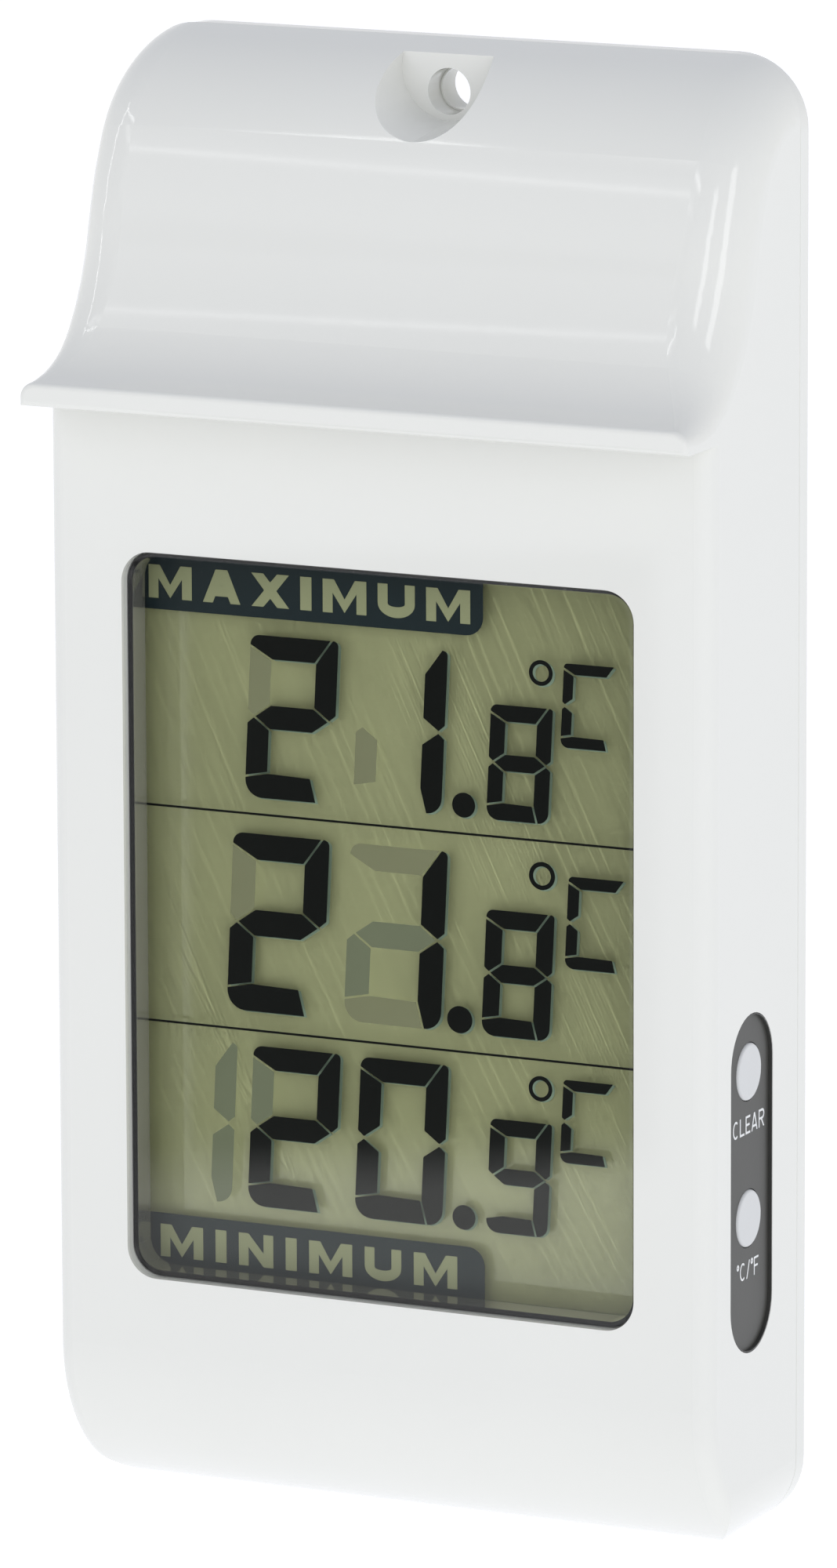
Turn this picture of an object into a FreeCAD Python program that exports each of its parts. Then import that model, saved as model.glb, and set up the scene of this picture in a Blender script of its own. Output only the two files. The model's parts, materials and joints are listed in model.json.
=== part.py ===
"""Digital maximum and minimum thermometer for a greenhouse wall.

A two-part moulded case carries a three-row liquid crystal display behind a flush
clear window. A hood over the display ends in a drip ledge. Two push buttons sit in
a label panel in the right side, and a door that slides down closes the battery bay.

Frame: X to the right, Z up, front towards -Y. The origin is the centre of the
hanging hole on the back plane, where the case touches the wall.
Millimetres throughout. Places are given as (x, depth, height): depth is measured
back from the flat front face, and height up from the bottom of the case.
"""
import FreeCAD, Part
import math
import os

Vector = FreeCAD.Vector

# ---------------------------------------------------------------- driving dimensions
CASE_WIDTH = 73.0
CASE_HEIGHT = 150.0
CASE_DEPTH = 24.0           # flat front face to wall
COVER_THICK = 2.6           # rear cover plate
WALL = 2.0                  # moulded wall of the front housing
OUTLINE_R = 7.4             # bottom corners of the outline, seen from the front
BASE_R = 17.0               # long rounding from the front face to the bottom
EDGE_R = 1.9                # upright edges of the front face
COVER_EDGE_R = 0.6
SEAM_EASE = 0.25            # chamfer of the cover where it meets the housing

LEDGE_REACH = 5.9           # drip ledge in front of the flat face
LEDGE_HEIGHT = 114.4        # its underside
LEDGE_EDGE_R = 0.55
FLARE_DEPTH = -7.4          # centre and radius of the hollow curve above the ledge
FLARE_HEIGHT = 126.3
FLARE_R = 9.7
CROWN_DEPTH = 24.3          # centre and radius of the round top of the hood
CROWN_R = 17.3
SLOPE_LEAN = math.radians(28.0)     # upward lean at both ends of the slope between them
HOOD_EDGE_R = (1.4, 5.2, 6.0, 5.5, 6.4)     # side rounding at ledge, flare, mid slope, crown and seam

HOLE_DROP = 4.9             # hanging hole below the top
HOLE_R = 2.35
POCKET_FLOOR_DEPTH = 17.6
POCKET_RISE = 2.25          # pocket centre above the hole
POCKET_R = 5.2
POCKET_DRAFT = math.radians(7)

WINDOW_WIDTH = 56.4
WINDOW_HEIGHT = 74.9
WINDOW_BASE = 24.55
WINDOW_R = 3.2
WINDOW_THICK = 1.2
WINDOW_GAP = 0.1
TAPE_THICK = 0.1
BEZEL_STEP = 0.5            # dark bezel inside the window opening, each side

DISPLAY_DEPTH = 4.0         # front of the display stack
GLASS_WIDTH = 60.0
GLASS_HEIGHT = 83.0
GLASS_THICK = 1.1
FILM_THICK = 0.2
CONTACT_LEDGE = 3.0         # front glass beyond the rear glass, top and bottom
BOARD_FRONT = 7.7
BOARD_THICK = 1.2
BOARD_HALF = 28.3
FRAME_HALF = 31.4
FRAME_MARGIN = 5.0          # frame above and below the glass

PANEL_DEPTH = 10.2          # centre line of the label panel and buttons
PANEL_HEIGHT = 38.55
PANEL_LONG = 34.7
PANEL_WIDE = 10.3
PANEL_RECESS = 0.9
PANEL_THICK = 0.5
BUTTON_R = 2.92
BUTTON_HOLE_R = 3.0
BUTTON_HEIGHTS = {"clear": 49.9, "unit": 34.9}
BUTTON_TRAVEL = 0.5

CELL_R = 5.25               # one AAA cell
CELL_LENGTH = 44.5
CELL_NUB = 1.1
CELL_DEPTH = 16.2
CELL_BASE = 9.6

DOOR_HALF = 7.85
DOOR_GAP = 0.15
DOOR_TOP = 59.6
TONGUE = 0.85
TONGUE_THICK = 0.7

SEAM_DEPTH = CASE_DEPTH - COVER_THICK
HALF = CASE_WIDTH / 2
WINDOW_MID = WINDOW_BASE + WINDOW_HEIGHT / 2
CROWN_HEIGHT = CASE_HEIGHT - math.sqrt(CROWN_R ** 2 - (CROWN_DEPTH - SEAM_DEPTH) ** 2)
HOLE_HEIGHT = CASE_HEIGHT - HOLE_DROP
BOARD_BACK = BOARD_FRONT + BOARD_THICK
CUT = 1.0                   # how far cutting tools run past a surface


# ---------------------------------------------------------------- helpers
def at(x, depth, height):
    """A point given by x, depth behind the front face and height above the bottom."""
    return Vector(x, depth - CASE_DEPTH, height - HOLE_HEIGHT)


def box(x0, x1, d0, d1, h0, h1):
    """A block between two corners."""
    return Part.makeBox(x1 - x0, d1 - d0, h1 - h0, at(x0, d0, h0))


def rod_back(r, x, height, d0, d1):
    """A cylinder running from front to back."""
    return Part.makeCylinder(r, d1 - d0, at(x, d0, height), Vector(0, 1, 0))


def rod_side(r, depth, height, x0, x1):
    """A cylinder running from left to right."""
    return Part.makeCylinder(r, x1 - x0, at(x0, depth, height), Vector(1, 0, 0))


def plate(width, tall, r, middle, d0, d1):
    """A round-cornered plate facing the front, centred on x = 0."""
    solid = box(-width / 2, width / 2, d0, d1, middle - tall / 2, middle + tall / 2)
    corners = [e for e in solid.Edges if abs(e.tangentAt(e.FirstParameter).y) > 0.99]
    return solid.makeFillet(r, corners)


def side_slot(wide, tall, x0, x1):
    """A stadium on the right side, wide in depth and tall in height."""
    r = wide / 2
    reach = tall / 2 - r
    solid = box(x0, x1, PANEL_DEPTH - r, PANEL_DEPTH + r, PANEL_HEIGHT - reach, PANEL_HEIGHT + reach)
    for end in (-reach, reach):
        solid = solid.fuse(rod_side(r, PANEL_DEPTH, PANEL_HEIGHT + end, x0, x1))
    return solid.removeSplitter()


def edges_through(shape, points):
    """The edges of a shape that pass through any of the points."""
    near = 1e-3
    return [e for e in shape.Edges
            if any(e.distToShape(Part.Vertex(p))[0] < near for p in points)]


def fuse_all(solids):
    """One shape made of several solids."""
    whole = solids[0]
    for solid in solids[1:]:
        whole = whole.fuse(solid)
    return whole.removeSplitter()


def save(node, shape):
    """Write one node, after a check that it is sound."""
    if not shape.isValid() or shape.Volume <= 0:
        raise ValueError("unsound shape: " + node)
    shape.exportStep("parts/" + node + ".step")
    print("%-26s %9.1f mm3  %d solid(s)" % (node, shape.Volume, len(shape.Solids)))


# ---------------------------------------------------------------- case outline
def leaning(centre, r, lean):
    """The point at a distance from a centre, towards the front and up by a lean."""
    return (centre[0] - r * math.cos(lean), centre[1] + r * math.sin(lean))


def slope():
    """The hood's slope, round above and hollow below with the same radius. Gives that radius, the lean
    where the two meet, the round stretch's centre and the hollow one's."""
    both = CROWN_R + FLARE_R
    across = CROWN_DEPTH - FLARE_DEPTH - both * math.cos(SLOPE_LEAN)
    down = CROWN_HEIGHT - FLARE_HEIGHT + both * math.sin(SLOPE_LEAN)
    least = 2 * math.atan2(across, down) - SLOPE_LEAN
    r = math.hypot(across, down) / (4 * math.sin((SLOPE_LEAN - least) / 2))
    round_centre = leaning((CROWN_DEPTH, CROWN_HEIGHT), CROWN_R - r, SLOPE_LEAN)
    hollow_centre = leaning((FLARE_DEPTH, FLARE_HEIGHT), r - FLARE_R, SLOPE_LEAN)
    return r, least, round_centre, hollow_centre


def slope_heights(inset):
    """Heights where the flare ends, the slope turns from hollow to round, and the crown starts."""
    r, least, round_centre, _ = slope()
    return [leaning((FLARE_DEPTH, FLARE_HEIGHT), -FLARE_R - inset, SLOPE_LEAN)[1],
            leaning(round_centre, r - inset, least)[1],
            leaning((CROWN_DEPTH, CROWN_HEIGHT), CROWN_R - inset, SLOPE_LEAN)[1]]


def side_arc(depth, height, r, start, end, x):
    """An arc in the plane of a side wall."""
    points = [at(x, depth + r * math.cos(a), height + r * math.sin(a))
              for a in (start, (start + end) / 2, end)]
    return Part.Arc(*points).toShape()


def side_line(first, last, x):
    """A straight line in the plane of a side wall."""
    return Part.LineSegment(at(x, *first), at(x, *last)).toShape()


def side_profile(inset, back):
    """The case seen from the side, moved in by the wall thickness for its hollow."""
    x = -HALF + inset
    flare_r = FLARE_R + inset
    crown_r = CROWN_R - inset
    front = inset if inset else -LEDGE_REACH
    slope_r, least, round_centre, hollow_centre = slope()
    flare_start = -math.acos((front - FLARE_DEPTH) / flare_r)
    flare_foot = (front, FLARE_HEIGHT + flare_r * math.sin(flare_start))
    crown_end = math.acos((SEAM_DEPTH - CROWN_DEPTH) / crown_r)
    top = CROWN_HEIGHT + crown_r * math.sin(crown_end)
    edges = [
        side_line((back, inset), (BASE_R, inset), x),
        side_arc(BASE_R, BASE_R, BASE_R - inset, -math.pi / 2, -math.pi, x),
        side_arc(FLARE_DEPTH, FLARE_HEIGHT, flare_r, flare_start, -SLOPE_LEAN, x),
        side_arc(*hollow_centre, slope_r + inset, -SLOPE_LEAN, -least, x),
        side_arc(*round_centre, slope_r - inset, math.pi - least, math.pi - SLOPE_LEAN, x),
        side_arc(CROWN_DEPTH, CROWN_HEIGHT, crown_r, math.pi - SLOPE_LEAN, crown_end, x),
        side_line((back, top), (back, inset), x),
    ]
    if inset:
        edges.append(side_line((inset, BASE_R), flare_foot, x))
        edges.append(side_line((SEAM_DEPTH, top), (back, top), x))
    else:
        edges.append(side_line((0, BASE_R), (0, LEDGE_HEIGHT), x))
        edges.append(side_line((0, LEDGE_HEIGHT), (front, LEDGE_HEIGHT), x))
        edges.append(side_line((front, LEDGE_HEIGHT), flare_foot, x))
    return Part.Face(Part.Wire(Part.__sortEdges__(edges)))


def hood_edges(block, inset):
    """Each side edge of the hood, by number, with the rounding radius at its two ends."""
    front = inset if inset else -LEDGE_REACH
    foot = FLARE_HEIGHT - math.sqrt((FLARE_R + inset) ** 2 - (front - FLARE_DEPTH) ** 2)
    knots = [foot, *slope_heights(inset), CASE_HEIGHT - inset]
    radii = [max(r - inset, WALL / 4) for r in HOOD_EDGE_R]
    edges = []
    for number, edge in enumerate(block.Edges, start=1):
        heights = [v.Point.z + HOLE_HEIGHT for v in edge.Vertexes]
        spans = [min(range(len(knots)), key=lambda i: abs(knots[i] - h)) for h in heights]
        gaps = [abs(knots[i] - h) for i, h in zip(spans, heights)]
        if max(gaps) < WALL / 4 and abs(spans[1] - spans[0]) == 1:
            edges.append((number, radii[spans[0]], radii[spans[1]]))
    return edges


def round_hood(block, inset):
    """Round both sides of the hood, with a radius that changes along each stretch."""
    doc = FreeCAD.newDocument()
    base = doc.addObject("Part::Feature", "base")
    base.Shape = block
    rounded = doc.addObject("Part::Fillet", "rounded")
    rounded.Base = base
    rounded.Edges = hood_edges(block, inset)
    doc.recompute()
    shape = rounded.Shape.copy()
    FreeCAD.closeDocument(doc.Name)
    return shape


def case_block(inset, back):
    """The closed form of the case, or of its hollow, with its rounded edges."""
    block = side_profile(inset, back).extrude(Vector(CASE_WIDTH - 2 * inset, 0, 0))
    side = HALF - inset
    block = round_hood(block, inset)
    if not inset:
        upright = [at(x, 0, LEDGE_HEIGHT / 2) for x in (-side, side)]
        block = block.makeFillet(EDGE_R, edges_through(block, upright))
    tall = CASE_HEIGHT + OUTLINE_R * 2
    outline = plate(CASE_WIDTH - 2 * inset, tall, OUTLINE_R - inset,
                    inset + tall / 2, -LEDGE_REACH - CUT, back + CUT)
    return block.common(outline)


def rounded_ledge(block):
    """Round the two long front edges of the drip ledge."""
    lip = FLARE_HEIGHT - math.sqrt(FLARE_R ** 2 - (LEDGE_REACH + FLARE_DEPTH) ** 2)
    points = [at(0, -LEDGE_REACH, LEDGE_HEIGHT), at(0, -LEDGE_REACH, lip)]
    return block.makeFillet(LEDGE_EDGE_R, edges_through(block, points))


# ---------------------------------------------------------------- front housing
CASE_POSTS = [(x, h) for x in (-29.5, 29.5) for h in (9.5, 134.0)]
CASE_POST_R = 2.8
CASE_PILOT_R = 1.2
CASE_PILOT_LONG = 8.0
BOARD_POSTS = [(x, h) for x in (-26.0, 26.0) for h in (18.0, 106.0)]
BOARD_POST_R = 1.9
BOARD_PILOT_R = 0.95
BOARD_PILOT_DEPTH = 3.0
VENT_COUNT = 6
VENT_PITCH = 2.9
VENT_WIDE = 1.4
VENT_LEFT = -29.6
VENT_DEPTHS = (13.2, 19.2)
VENT_TALL = 4.2
BOSS_R = 4.2


def pocket_cone(extra, start, end):
    """The drafted pocket round the hanging hole, widening towards the front."""
    long = end - start
    wide = POCKET_R + extra
    return Part.makeCone(wide, wide + long * math.tan(POCKET_DRAFT), long,
                         at(0, end, HOLE_HEIGHT + POCKET_RISE), Vector(0, -1, 0))


def front_housing():
    """Hood, ledge, face and side walls, with the posts, pocket and openings."""
    outer = rounded_ledge(case_block(0, SEAM_DEPTH))
    shell = outer.cut(case_block(WALL, SEAM_DEPTH + CUT))
    posts = [rod_back(CASE_POST_R, x, h, WALL / 2, SEAM_DEPTH) for x, h in CASE_POSTS]
    posts += [rod_back(BOARD_POST_R, x, h, WALL / 2, BOARD_FRONT) for x, h in BOARD_POSTS]
    posts.append(pocket_cone(WALL * 0.8, 0, POCKET_FLOOR_DEPTH + WALL * 0.8))
    posts.append(rod_back(BOSS_R, 0, HOLE_HEIGHT, POCKET_FLOOR_DEPTH, SEAM_DEPTH))
    for post in posts:
        shell = shell.fuse(post.common(outer))
    shell = shell.cut(pocket_cone(0, -CUT, POCKET_FLOOR_DEPTH))
    shell = shell.cut(rod_back(HOLE_R, 0, HOLE_HEIGHT, 0, CASE_DEPTH))
    for x, h in CASE_POSTS:
        shell = shell.cut(rod_back(CASE_PILOT_R, x, h, SEAM_DEPTH - CASE_PILOT_LONG, CASE_DEPTH))
    for x, h in BOARD_POSTS:
        shell = shell.cut(rod_back(BOARD_PILOT_R, x, h, BOARD_PILOT_DEPTH, BOARD_BACK))
    shell = shell.cut(plate(WINDOW_WIDTH, WINDOW_HEIGHT, WINDOW_R, WINDOW_MID, -CUT, WALL + CUT))
    shell = shell.cut(side_slot(PANEL_WIDE, PANEL_LONG, HALF - PANEL_RECESS, HALF + CUT))
    for h in BUTTON_HEIGHTS.values():
        shell = shell.cut(rod_side(BUTTON_HOLE_R, PANEL_DEPTH, h, HALF - WALL - CUT, HALF))
    for i in range(VENT_COUNT):
        x = VENT_LEFT + i * VENT_PITCH
        shell = shell.cut(box(x - VENT_WIDE / 2, x + VENT_WIDE / 2, *VENT_DEPTHS, -CUT, VENT_TALL))
    return shell.removeSplitter()


# ---------------------------------------------------------------- rear cover and door
RIM_INSET = WALL + 0.25
RIM_TOP_INSET = WALL + 0.9
RIM_THICK = 1.2
RIM_REACH = 1.5
RIM_R = 8.0
SCREW_HEAD_R = 2.3
SCREW_HEAD_THICK = 1.1
SCREW_R = 1.12
SCREW_SEAT_R = 2.6
SCREW_SEAT_DEPTH = 1.2
BAY_FRONT = 10.2
BAY_HALF = 9.2
BAY_BASE = 3.7
BAY_TOP = 56.8
BAY_WALL = 0.9
BAY_FRONT_WALL = 0.7
SLOT_HALF = DOOR_HALF + DOOR_GAP
GROOVE_DEPTHS = (SEAM_DEPTH + 0.6, SEAM_DEPTH + 1.5)
CRADLE_HALF = CELL_R + 0.15
CRADLE_TALL = 3.0
TAB_HALF = 1.2
CONTACT_THICK = 0.4
POSITIVE_HEIGHT = 54.5
NEGATIVE_HEIGHT = 4.7


def cover_plate():
    """The flat back, with its rear edge rounded and its front edge eased to mark the seam."""
    solid = plate(CASE_WIDTH, CASE_HEIGHT, OUTLINE_R, CASE_HEIGHT / 2, SEAM_DEPTH, CASE_DEPTH)
    back = [e for e in solid.Edges if abs(e.BoundBox.YMin) < 1e-6 and abs(e.BoundBox.YMax) < 1e-6]
    solid = solid.makeFillet(COVER_EDGE_R, back)
    seam = [e for e in solid.Edges if abs(e.BoundBox.YMin + COVER_THICK) < 1e-6
            and abs(e.BoundBox.YMax + COVER_THICK) < 1e-6]
    return solid.makeChamfer(SEAM_EASE, seam)


def cover_rim():
    """The locating rim that fits inside the front housing."""
    low = RIM_INSET
    high = CASE_HEIGHT - RIM_TOP_INSET
    middle = (low + high) / 2
    wide = CASE_WIDTH - 2 * RIM_INSET
    start = SEAM_DEPTH - RIM_REACH
    outer = plate(wide, high - low, RIM_R, middle, start, SEAM_DEPTH)
    inner = plate(wide - 2 * RIM_THICK, high - low - 2 * RIM_THICK, RIM_R - RIM_THICK,
                  middle, start - CUT, SEAM_DEPTH + CUT)
    return outer.cut(inner)


def battery_bay():
    """The box behind the door, with two cradle ribs under the cell."""
    outer = box(-BAY_HALF, BAY_HALF, BAY_FRONT, SEAM_DEPTH, BAY_BASE, BAY_TOP)
    inner = box(-SLOT_HALF, SLOT_HALF, BAY_FRONT + BAY_FRONT_WALL, SEAM_DEPTH + CUT,
                BAY_BASE + BAY_WALL, BAY_TOP - BAY_WALL)
    bay = outer.cut(inner)
    for h in (CELL_BASE + 8.0, CELL_BASE + 32.0):
        for x0, x1 in ((-SLOT_HALF, -CRADLE_HALF), (CRADLE_HALF, SLOT_HALF)):
            bay = bay.fuse(box(x0, x1, BAY_FRONT, CELL_DEPTH, h, h + CRADLE_TALL))
    slot = CONTACT_THICK / 2
    for h in (POSITIVE_HEIGHT, NEGATIVE_HEIGHT):
        bay = bay.cut(box(-TAB_HALF - slot, TAB_HALF + slot, BAY_FRONT - CUT, BAY_FRONT + CUT,
                          h - slot, h + CONTACT_THICK + slot))
    return bay


def rear_cover():
    """Plate, rim and battery bay in one moulding, with screw seats and door slot."""
    cover = fuse_all([cover_plate(), cover_rim(), battery_bay()])
    cover = cover.cut(box(-SLOT_HALF, SLOT_HALF, SEAM_DEPTH, CASE_DEPTH + CUT,
                          -CUT, DOOR_TOP + DOOR_GAP))
    groove = SLOT_HALF + TONGUE
    cover = cover.cut(box(-groove, groove, *GROOVE_DEPTHS, -CUT, DOOR_TOP + DOOR_GAP))
    cover = cover.cut(rod_back(HOLE_R, 0, HOLE_HEIGHT, 0, CASE_DEPTH + CUT))
    cover = cover.cut(rod_back(BOSS_R + 0.3, 0, HOLE_HEIGHT, 0, SEAM_DEPTH))
    for x, h in CASE_POSTS:
        cover = cover.cut(rod_back(SCREW_SEAT_R, x, h, CASE_DEPTH - SCREW_SEAT_DEPTH, CASE_DEPTH + CUT))
        cover = cover.cut(rod_back(SCREW_R + 0.2, x, h, SEAM_DEPTH - CUT, CASE_DEPTH))
    return cover.removeSplitter()


def battery_door():
    """The sliding door: a plate with two side tongues and finger grooves."""
    inner = SEAM_DEPTH + 0.3
    outer = CASE_DEPTH - 0.1
    door = box(-DOOR_HALF, DOOR_HALF, inner, outer, DOOR_GAP, DOOR_TOP)
    foot = edges_through(door, [at(0, outer, DOOR_GAP)])
    door = door.makeFillet(COVER_EDGE_R, foot)
    tongue_depth = sum(GROOVE_DEPTHS) / 2 - TONGUE_THICK / 2
    reach = DOOR_HALF + TONGUE
    door = door.fuse(box(-reach, reach, tongue_depth, tongue_depth + TONGUE_THICK,
                         COVER_EDGE_R * 2, DOOR_TOP))
    grip_half = 4.5
    grip_deep = 0.4
    for i in range(5):
        h = DOOR_TOP - 10.0 + i * 1.6
        door = door.cut(box(-grip_half, grip_half, outer - grip_deep, outer + CUT, h, h + 0.8))
    return door.removeSplitter()


def cross_recess(x, height, outer, deep, r):
    """The cross-shaped driver recess in a screw head."""
    half = r * 0.13
    upright = box(x - half, x + half, outer - deep, outer + CUT, height - r * 0.6, height + r * 0.6)
    level = box(x - r * 0.6, x + r * 0.6, outer - deep, outer + CUT, height - half, height + half)
    return upright.fuse(level)


def screw(x, height, seat, head_r, head_thick, shank_r, long):
    """A pan-head screw driven in from the back."""
    head = rod_back(head_r, x, height, seat, seat + head_thick)
    rim = edges_through(head, [at(x + head_r, seat + head_thick, height)])
    head = head.makeFillet(head_thick * 0.45, rim)
    head = head.cut(cross_recess(x, height, seat + head_thick, head_thick * 0.6, head_r))
    return head.fuse(rod_back(shank_r, x, height, seat - long, seat))


def case_screws():
    """Four screws that hold the rear cover."""
    seat = CASE_DEPTH - SCREW_SEAT_DEPTH
    return Part.makeCompound([screw(x, h, seat, SCREW_HEAD_R, SCREW_HEAD_THICK, SCREW_R, 8.0)
                              for x, h in CASE_POSTS])


# ---------------------------------------------------------------- battery
def battery_cell():
    """One AAA cell, positive end up."""
    foot = at(0, CELL_DEPTH, CELL_BASE)
    can = Part.makeCylinder(CELL_R, CELL_LENGTH - CELL_NUB, foot)
    can = can.makeFillet(0.4, [e for e in can.Edges if e.Closed])
    nub = Part.makeCylinder(1.9, CELL_NUB + CUT, at(0, CELL_DEPTH, CELL_BASE + CELL_LENGTH - CELL_NUB - CUT))
    return can.fuse(nub).removeSplitter()


def battery_contact_positive():
    """The flat contact above the cell, with its tab to the board."""
    top = POSITIVE_HEIGHT + CONTACT_THICK
    blade = box(-4.2, 4.2, BAY_FRONT + BAY_FRONT_WALL, CELL_DEPTH + 4.2, POSITIVE_HEIGHT, top)
    tab = box(-TAB_HALF, TAB_HALF, BOARD_BACK, BAY_FRONT + CUT, POSITIVE_HEIGHT, top)
    return fuse_all([blade, tab])


def battery_contact_negative():
    """The contact under the spring, with a tab that rises to the board."""
    top = NEGATIVE_HEIGHT + CONTACT_THICK
    board_edge = 17.0
    blade = box(-4.2, 4.2, BAY_FRONT + BAY_FRONT_WALL, CELL_DEPTH + 4.2, NEGATIVE_HEIGHT, top)
    tab = box(-TAB_HALF, TAB_HALF, BOARD_BACK, BAY_FRONT + CUT, NEGATIVE_HEIGHT, top)
    riser = box(-TAB_HALF, TAB_HALF, BOARD_BACK, BOARD_BACK + CONTACT_THICK, NEGATIVE_HEIGHT, board_edge)
    return fuse_all([blade, tab, riser])


def battery_spring():
    """The coil between the negative contact and the cell."""
    wire_r = 0.35
    base = NEGATIVE_HEIGHT + CONTACT_THICK + wire_r
    tall = CELL_BASE - base - wire_r
    turns = 4
    wide = 3.4
    path = Part.makeHelix(tall / turns, tall, wide)
    start = Part.Wire(Part.makeCircle(wire_r, Vector(wide, 0, 0), Vector(0, 1, 0)))
    coil = path.makePipeShell([start], True, True)
    coil.translate(at(0, CELL_DEPTH, base))
    return coil


# ---------------------------------------------------------------- display
FRAME_FRONT = WINDOW_THICK + TAPE_THICK
FRAME_FLANGE = WALL + 0.1
FRAME_BACK = BOARD_FRONT - 0.1


def display_window():
    """The clear window, flush with the face, its front edge eased."""
    lens = plate(WINDOW_WIDTH - 2 * WINDOW_GAP, WINDOW_HEIGHT - 2 * WINDOW_GAP,
                 WINDOW_R - WINDOW_GAP, WINDOW_MID, 0, WINDOW_THICK)
    front = [e for e in lens.Edges if abs(e.BoundBox.YMax + CASE_DEPTH) < 1e-6]
    return lens.makeFillet(0.35, front)


def bezel_opening(extra, d0, d1):
    """The round-cornered opening of the dark bezel, or a plate round it."""
    step = 2 * (BEZEL_STEP + WINDOW_GAP) - 2 * extra
    return plate(WINDOW_WIDTH - step, WINDOW_HEIGHT - step, WINDOW_R - BEZEL_STEP + extra,
                 WINDOW_MID, d0, d1)


def window_tape():
    """The black adhesive ring between the window and the bezel."""
    outer = bezel_opening(BEZEL_STEP, WINDOW_THICK, FRAME_FRONT)
    return outer.cut(bezel_opening(0, 0, DISPLAY_DEPTH))


def glass_plate(shorter, narrower, d0, d1):
    """A square-cornered plate of the display stack, centred behind the window."""
    half = GLASS_WIDTH / 2 - narrower
    tall = GLASS_HEIGHT / 2 - shorter
    return box(-half, half, d0, d1, WINDOW_MID - tall, WINDOW_MID + tall)


def lcd_frame():
    """The dark moulding that holds the display and lines the window opening."""
    collar = bezel_opening(BEZEL_STEP, FRAME_FRONT, FRAME_FLANGE)
    tall = GLASS_HEIGHT + 2 * FRAME_MARGIN
    body = plate(2 * FRAME_HALF, tall, 1.5, WINDOW_MID, FRAME_FLANGE, FRAME_BACK)
    frame = collar.fuse(body)
    frame = frame.cut(bezel_opening(0, 0, DISPLAY_DEPTH + CUT))
    frame = frame.cut(glass_plate(-WINDOW_GAP, -WINDOW_GAP, DISPLAY_DEPTH, FRAME_BACK + CUT))
    for x, h in BOARD_POSTS:
        frame = frame.cut(rod_back(BOARD_POST_R + 0.15, x, h, 0, BOARD_BACK))
    return frame


DISPLAY_LAYERS = {
    "lcd_front_polarizer": (1.0, 1.0, FILM_THICK),
    "lcd_front_glass": (0.0, 0.0, GLASS_THICK),
    "lcd_rear_glass": (CONTACT_LEDGE, 0.0, GLASS_THICK),
    "lcd_reflector": (CONTACT_LEDGE + 1.0, 1.0, FILM_THICK),
}


def display_layers():
    """Films and glasses, one behind the other."""
    depth = DISPLAY_DEPTH
    layers = {}
    for node, (shorter, narrower, thick) in DISPLAY_LAYERS.items():
        layers[node] = glass_plate(shorter, narrower, depth, depth + thick)
        depth += thick
    return layers


def zebra_strip(end):
    """The rubber connector from the front glass to the board, at one end of the glass."""
    glass_back = DISPLAY_DEPTH + FILM_THICK + GLASS_THICK
    middle = WINDOW_MID + end * (GLASS_HEIGHT / 2 - CONTACT_LEDGE / 2)
    return box(-27.0, 27.0, glass_back, BOARD_FRONT, middle - 0.9, middle + 0.9)


# ---------------------------------------------------------------- electronics
BOARD_BASE = 15.4
BOARD_TOP = 108.6
BUTTON_BOARD_X = 28.9
BUTTON_BOARD_THICK = 1.0


def main_board():
    """The circuit board behind the display."""
    board = box(-BOARD_HALF, BOARD_HALF, BOARD_FRONT, BOARD_BACK, BOARD_BASE, BOARD_TOP)
    for x, h in BOARD_POSTS:
        board = board.cut(rod_back(BOARD_PILOT_R + 0.3, x, h, 0, CASE_DEPTH))
    return board


def board_screws():
    """Four small screws through the board into the housing posts."""
    return Part.makeCompound([screw(x, h, BOARD_BACK, 1.9, 0.9, BOARD_PILOT_R - 0.07, 5.2)
                              for x, h in BOARD_POSTS])


def chip_blob():
    """The low black dome of resin over the chip."""
    across = 6.0
    tall = 1.8
    r = (across ** 2 + tall ** 2) / (2 * tall)
    ball = Part.makeSphere(r, at(14.0, BOARD_BACK + tall - r, 78.0))
    return ball.common(box(0, BOARD_HALF, BOARD_BACK, BOARD_BACK + r, 65.0, 95.0))


def crystal_can():
    """The watch crystal, lying along the board."""
    r = 1.0
    can = Part.makeCylinder(r, 6.0, at(-14.0, BOARD_BACK + r, 78.0))
    return can.makeFillet(0.25, [e for e in can.Edges if e.Closed])


def board_capacitors():
    """A bank of small ceramic capacitors."""
    return Part.makeCompound([box(x, x + 2.0, BOARD_BACK, BOARD_BACK + 0.9, h, h + 1.25)
                              for x in (-6.0, 2.0) for h in (68.0, 74.0, 80.0)])


def temperature_sensor():
    """The thermistor bead on its two leads, hanging behind the vents."""
    lead_r = 0.25
    depth = BOARD_BACK + lead_r
    bead_height = 5.9
    bead = Part.makeSphere(1.3, at(-18.5, depth, bead_height))
    leads = [Part.makeCylinder(lead_r, 11.0, at(x, depth, bead_height)) for x in (-19.1, -17.9)]
    return fuse_all([bead] + leads)


def button_board():
    """The small upright board behind the two buttons."""
    return box(BUTTON_BOARD_X, BUTTON_BOARD_X + BUTTON_BOARD_THICK,
               PANEL_DEPTH - 2.3, PANEL_DEPTH + 3.3, 24.0, 60.0)


def button_board_pins():
    """Four pins that join the button board to the main board."""
    r = 0.3
    return Part.makeCompound([rod_side(r, BOARD_BACK + r, h, BUTTON_BOARD_X - 4.0, BUTTON_BOARD_X)
                              for h in (26.0, 41.0, 43.5, 58.0)])


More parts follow.
